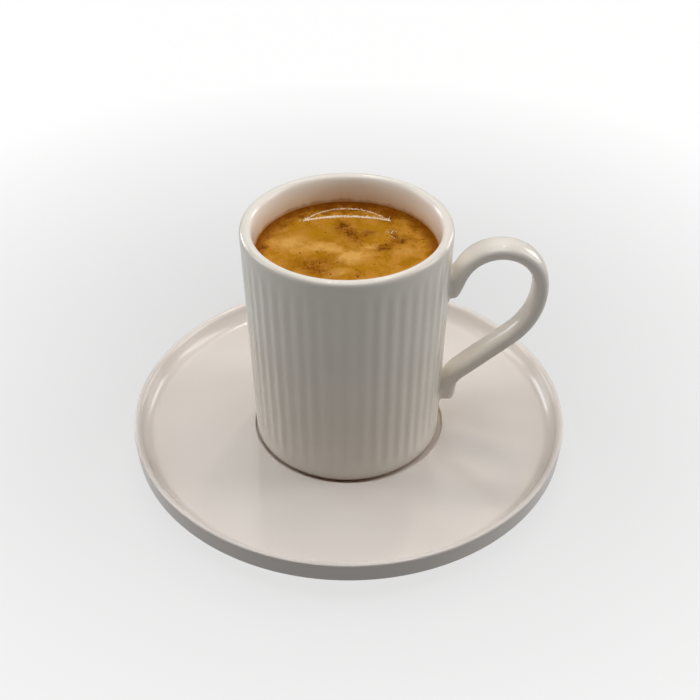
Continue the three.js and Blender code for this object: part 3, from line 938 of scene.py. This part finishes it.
def spots_on(name, places):
    """A mesh of loose points on the coffee's surface, over places in millimetres from the cup's axis."""
    surface = bpy.data.objects["coffee_crema"]
    spots = []
    for across, back in places:
        start = Vector((CUP_AXIS + across * MM, back * MM, COFFEE_HIGH.z + MM))
        hit, point, *_ = surface.ray_cast(start, Vector((0, 0, -1)))
        if hit:
            spots.append(point)
    mesh = bpy.data.meshes.new(name)
    mesh.from_pydata(spots, [], [])
    return mesh


def strewn(name, kind, sizes, mesh, rule, finish, **values):
    """A piece that a rule strews over the crema, between the smallest and the largest size of its kind."""
    ends = {"Smallest": getattr(sizes, f"{kind}_small"), "Largest": getattr(sizes, f"{kind}_large")}
    made = ruled(name, mesh, rule, Finish=finish, Seed=sizes.seed, **ends, **values)
    finished(placed(name, made), "espresso")


class ESPRESSO_OT_saucer(bpy.types.Operator):
    """Makes the glazed saucer"""

    bl_idname = "espresso.saucer"
    bl_label = "Saucer"

    def execute(self, context):
        finish = context.scene.espresso_finishes
        sizes = context.scene.espresso_saucer
        mesh = turned_mesh("saucer_glazed", saucer_outline(sizes), sizes.sides)
        glaze = glazed_porcelain("glazed_porcelain_saucer", finish, finish.saucer)
        finished(placed("saucer_glazed", mesh, glaze), "saucer_porcelain", "saucer")
        return {"FINISHED"}


class ESPRESSO_OT_cup(bpy.types.Operator):
    """Makes the ribbed cup and its handle as one piece"""

    bl_idname = "espresso.cup"
    bl_label = "Cup"

    def execute(self, context):
        finish = context.scene.espresso_finishes
        sizes = context.scene.espresso_cup
        ribs = context.scene.espresso_ribs
        glaze = filmed_porcelain_with_painted_light(glazed_porcelain("glazed_porcelain_cup", finish, finish.cup), finish)
        plain = turned_mesh("cup_wall", wall_outline(sizes), ribs.count * sizes.sides, CUP_AXIS, CUP_LOW.z)
        lie = {"Axis": CUP_AXIS, "Foot": CUP_LOW.z, "Middle": (sizes.foot_radius + sizes.inner_top) / 2}
        rows = {key.title(): getattr(ribs, key) for key in ("count", "depth", "first", "low", "high", "fade")}
        wall = ruled("cup_wall", plain, rib_rule(), Finish=glaze, **lie, **rows)
        strap = placed("strap", strap_mesh(context.scene.espresso_handle, sizes))
        cup = placed("cup_glazed", wall)
        join = cup.modifiers.new("Joined handle", "BOOLEAN")
        join.operation, join.solver, join.object = "UNION", "EXACT", strap
        mesh = bpy.data.meshes.new_from_object(cup.evaluated_get(context.evaluated_depsgraph_get()))
        if len(mesh.polygons) < len(wall.polygons):
            raise RuntimeError("the handle did not join the cup")
        cup.modifiers.remove(join)
        bpy.data.objects.remove(strap)
        form = bmesh.new()
        form.from_mesh(mesh)
        bmesh.ops.remove_doubles(form, verts=form.verts, dist=JOINT_GAP)
        bmesh.ops.dissolve_degenerate(form, edges=form.edges, dist=JOINT_GAP)
        form.to_mesh(mesh)
        form.free()
        cup.data = mesh
        mesh.name = "cup_glazed"
        mesh.shade_smooth()
        finished(cup, "cup_porcelain", "cup")
        return {"FINISHED"}


class ESPRESSO_OT_coffee(bpy.types.Operator):
    """Makes the coffee with its crema"""

    bl_idname = "espresso.coffee"
    bl_label = "Coffee"

    def execute(self, context):
        sizes = context.scene.espresso_coffee
        cup = context.scene.espresso_cup
        plain = turned_mesh("coffee_crema", coffee_outline(sizes, cup), sizes.sides, CUP_AXIS, CUP_LOW.z)
        lie = {"Axis": CUP_AXIS, "Edge": inner_radius(cup, COFFEE_LEVEL)}
        form = {"Bottom": COFFEE_HIGH.z - 2 * sizes.climb, "Height": sizes.unevenness, "Lump": sizes.lump}
        foam = crema_foam(context.scene.espresso_finishes)
        mesh = ruled("coffee_crema", plain, crema_rule(), Finish=foam, **lie, **form)
        finished(placed("coffee_crema", mesh), "espresso", "coffee")
        return {"FINISHED"}


class ESPRESSO_OT_bubbles(bpy.types.Operator):
    """Scatters fine bubbles over the crema"""

    bl_idname = "espresso.bubbles"
    bl_label = "Bubbles"

    def execute(self, context):
        sizes = context.scene.espresso_coffee
        surface = bpy.data.meshes["coffee_crema"].copy()
        foam = bpy.data.materials["crema_foam"]
        lie = {"Bottom": COFFEE_HIGH.z - 2 * sizes.climb, "Spacing": sizes.bubble_spacing}
        strewn("crema_bubbles", "bubble", sizes, surface, bubble_rule(), foam, **lie)
        return {"FINISHED"}


class ESPRESSO_OT_glint_froth(bpy.types.Operator):
    """Lays rows of tiny pale bubbles along the back of the crema, a painted highlight of the arcs that it
    reflects
    """

    bl_idname = "espresso.froth"
    bl_label = "Froth"

    def execute(self, context):
        sizes = context.scene.espresso_coffee
        spots = spots_on("glint_froth_spots", glint_froth_places(sizes))
        froth = crema_glint_froth(context.scene.espresso_finishes)
        rule = spot_rule("Glint froth rows", dome, GLINT_FROTH_TURN)
        strewn("crema_glint_froth", "froth", sizes, spots, rule, froth)
        return {"FINISHED"}


class ESPRESSO_OT_specks(bpy.types.Operator):
    """Scatters specks of ground coffee over the crema"""

    bl_idname = "espresso.specks"
    bl_label = "Specks"

    def execute(self, context):
        sizes = context.scene.espresso_coffee
        spots = spots_on("speck_spots", speck_places(sizes))
        grounds = coffee_grounds(context.scene.espresso_finishes)
        rule = spot_rule("Coffee specks", uneven_grain, SPECK_TURN)
        strewn("crema_specks", "speck", sizes, spots, rule, grounds)
        return {"FINISHED"}


# Soft boxes and lamps: degrees to the right of the back, degrees up, width and height in metres, watts
# and tint.
LIGHTS = (
    ("overhead_box", 180, 86, 0.9, 0.9, 7.9, "FFFFFF"),
    ("back_box", 0, 45, 0.7, 0.4, 0.9, "FFFFFF"),
    ("left_strip", -78, 30, 0.4, 0.9, 3.2, "FFFFFF"),
    ("right_strip", 82, 30, 0.4, 0.9, 4.3, "FFFFFF"),
    ("left_edge_strip", -50, 12, 0.4, 0.5, 3.4, "F4F9FF"),
    ("right_edge_strip", 50, 12, 0.4, 0.5, 2.8, "FFFFFF"),
    ("left_lamp", -8, 60, 0.07, 0.07, 0.67, "FFF4E6"),
    ("right_lamp", 18, 60, 0.07, 0.07, 0.96, "FFF4E6"),
)
LIGHT_DISTANCE = 1.2
LIGHT_AIM = Vector((0, 0, 40 * MM))
# Light from the world by how steeply a ray falls or rises, and how bright the camera sees the world.
WORLD_LIGHT = (-0.5, -0.05, 0.62, 0)
WORLD_SEEN = 0.9
# The floor's half width, and its glow by the distance from a place behind the cup, dimmer near it: a painted
# shadow round the cup and saucer.
FLOOR_REACH, FLOOR_SHADOW_MIDDLE = 4.0, (0, 45 * MM, 0)
FLOOR_GLOW_AND_SHADOW = (20 * MM, 200 * MM, 0.57, 0.88)
CAMERA_PLACE = (0.355 * MM, -242.55 * MM, 219.71 * MM)
CAMERA_AIM = (0.355 * MM, 0, 31.86 * MM)
CAMERA_LENS, CAMERA_SENSOR, CAMERA_NEAR = 58.17, 36, 10 * MM


def matt_card_painted_shadow(finish):
    """Matt card: dull pale paper, lit a little from within, dimmer near the cup as a painted shadow, so that
    it fades evenly into the backdrop.
    """
    material, tree, shader = new_material("matt_card_painted_shadow")
    place = add(tree, "ShaderNodeTexCoord").outputs["Object"]
    far = add(tree, DISTANCE, (place, FLOOR_SHADOW_MIDDLE))
    # The glow is dimmer near the cup: a painted shadow.
    shadowed_glow = add(tree, SPAN, (far, *FLOOR_GLOW_AND_SHADOW))
    fill(tree, shader, {"Base Color": (*finish.floor, 1), "Roughness": 0.9})
    fill(tree, shader, {"Emission Color": (1, 1, 1, 1), "Emission Strength": shadowed_glow})
    return material


class ESPRESSO_OT_stage(bpy.types.Operator):
    """Makes the floor, the lights and the camera"""

    bl_idname = "espresso.stage"
    bl_label = "Stage"

    def execute(self, context):
        scene = context.scene
        mesh = bpy.data.meshes.new("floor")
        corners = [(x * FLOOR_REACH, y * FLOOR_REACH, 0) for x, y in ((-1, -1), (1, -1), (1, 1), (-1, 1))]
        mesh.from_pydata(corners, [], [(0, 1, 2, 3)])
        floor = placed("floor", mesh, matt_card_painted_shadow(scene.espresso_finishes))
        floor.visible_diffuse = False
        floor.visible_glossy = False
        for name, azimuth, elevation, width, height, watts, tint in LIGHTS:
            lamp = bpy.data.lights.new(name, "AREA")
            lamp.shape, lamp.size, lamp.size_y = "RECTANGLE", width, height
            lamp.energy, lamp.color = watts, linear(tint)
            around = Matrix.Rotation(math.radians(-azimuth), 3, "Z")
            upward = Matrix.Rotation(math.radians(elevation), 3, "X")
            away = around @ upward @ Vector((0, LIGHT_DISTANCE, 0))
            stand = bpy.data.objects.new(name, lamp)
            stand.location = LIGHT_AIM + away
            stand.rotation_euler = (-away).to_track_quat("-Z", "Y").to_euler()
            scene.collection.objects.link(stand)
        camera = bpy.data.objects.new("camera", bpy.data.cameras.new("camera"))
        camera.data.lens, camera.data.sensor_width = CAMERA_LENS, CAMERA_SENSOR
        camera.data.clip_start = CAMERA_NEAR
        camera.location = CAMERA_PLACE
        toward = Vector(CAMERA_AIM) - Vector(CAMERA_PLACE)
        camera.rotation_euler = toward.to_track_quat("-Z", "Y").to_euler()
        scene.collection.objects.link(camera)
        scene.camera = camera
        world = bpy.data.worlds.new("studio")
        world.use_nodes = True
        tree = world.node_tree
        way = add(tree, "ShaderNodeSeparateXYZ", {0: add(tree, "ShaderNodeTexCoord").outputs["Generated"]})
        ambient = add(tree, SPAN, (way.outputs["Z"], *WORLD_LIGHT))
        seen = add(tree, "ShaderNodeLightPath").outputs["Is Camera Ray"]
        level = add(tree, SPAN, (seen, 0, 1, ambient, WORLD_SEEN))
        fill(tree, tree.nodes["Background"], {"Color": (1, 1, 1, 1), "Strength": level})
        scene.world = world
        scene.view_settings.view_transform = "Standard"
        return {"FINISHED"}


class ESPRESSO_PT_panel(bpy.types.Panel):
    """Lists the pieces of the espresso shot"""

    bl_idname = "ESPRESSO_PT_panel"
    bl_label = "Espresso shot"
    bl_space_type = "VIEW_3D"
    bl_region_type = "UI"
    bl_category = "Espresso"

    def draw(self, context):
        for operator in OPERATORS:
            self.layout.operator(operator.bl_idname)
        for name in GROUPS:
            group = getattr(context.scene, name)
            box = self.layout.box()
            for key in group.__annotations__:
                box.prop(group, key)


GROUPS = {
    "espresso_saucer": SaucerSizes,
    "espresso_cup": CupSizes,
    "espresso_ribs": RibSizes,
    "espresso_handle": HandleSizes,
    "espresso_coffee": CoffeeSizes,
    "espresso_finishes": Finishes,
}
OPERATORS = (
    ESPRESSO_OT_saucer,
    ESPRESSO_OT_cup,
    ESPRESSO_OT_coffee,
    ESPRESSO_OT_bubbles,
    ESPRESSO_OT_glint_froth,
    ESPRESSO_OT_specks,
    ESPRESSO_OT_stage,
)
CLASSES = (*GROUPS.values(), *OPERATORS, ESPRESSO_PT_panel)


def register():
    for cls in CLASSES:
        bpy.utils.register_class(cls)
    for name, group in GROUPS.items():
        setattr(bpy.types.Scene, name, PointerProperty(type=group))


def unregister():
    for name in GROUPS:
        delattr(bpy.types.Scene, name)
    for cls in reversed(CLASSES):
        bpy.utils.unregister_class(cls)


def main():
    register()
    bpy.ops.espresso.saucer()
    bpy.ops.espresso.cup()
    bpy.ops.espresso.coffee()
    bpy.ops.espresso.bubbles()
    bpy.ops.espresso.froth()
    bpy.ops.espresso.specks()
    bpy.ops.espresso.stage()


if __name__ == "__main__":
    main()
